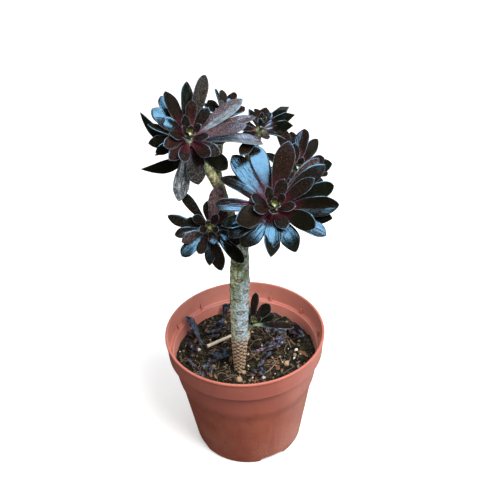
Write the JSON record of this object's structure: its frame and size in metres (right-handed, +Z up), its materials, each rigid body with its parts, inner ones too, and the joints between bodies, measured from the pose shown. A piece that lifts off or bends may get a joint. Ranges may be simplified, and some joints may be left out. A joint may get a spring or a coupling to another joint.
{
  "type": "potted aeonium",
  "caption": "Branched tree aeonium with near-black leaf rosettes on a scarred grey stem, standing in potting soil in a round terracotta-coloured plastic nursery pot.",
  "frame": {"origin": "centre of the pot's flat base, on the surface that the pot stands on", "axes": "+Z up along the pot's axis; the largest, nearest rosette faces -Y, and +X is to its right seen from there"},
  "size_m": [0.1378, 0.13, 0.3188],
  "materials": {
    "pot_plastic": "terracotta-coloured moulded plastic with a soft satin sheen, dusty and faintly scratched",
    "potting_soil": "coarse dark potting mix with bark, grit and white perlite",
    "stem_bark": "grey-green bark with eye-shaped brown leaf scars",
    "leaf": "glossy fleshy leaf, near-black maroon, crimson at the base and yellow-green in the heart",
    "dried_leaf": "shrivelled leaf, dull purple-grey",
    "twig_wood": "pale dry wood, cut square at one end"
  },
  "bodies": {
    "root": {"pot": "pot_plastic", "soil": "potting_soil", "stem": "stem_bark", "rosette_front": "leaf", "rosette_side": "leaf", "rosette_left": "leaf", "rosette_low": "leaf", "rosette_rear": "leaf", "rosette_back": "leaf", "rosette_shoot": "leaf", "dried_leaf_1": "dried_leaf", "dried_leaf_2": "dried_leaf", "dried_leaf_3": "dried_leaf", "dried_leaf_4": "dried_leaf", "dried_leaf_5": "dried_leaf", "dried_leaf_6": "dried_leaf", "dried_leaf_7": "dried_leaf", "dried_leaf_8": "dried_leaf", "dried_leaf_9": "dried_leaf", "dried_leaf_10": "dried_leaf", "twig": "twig_wood"}
  },
  "joints": []
}
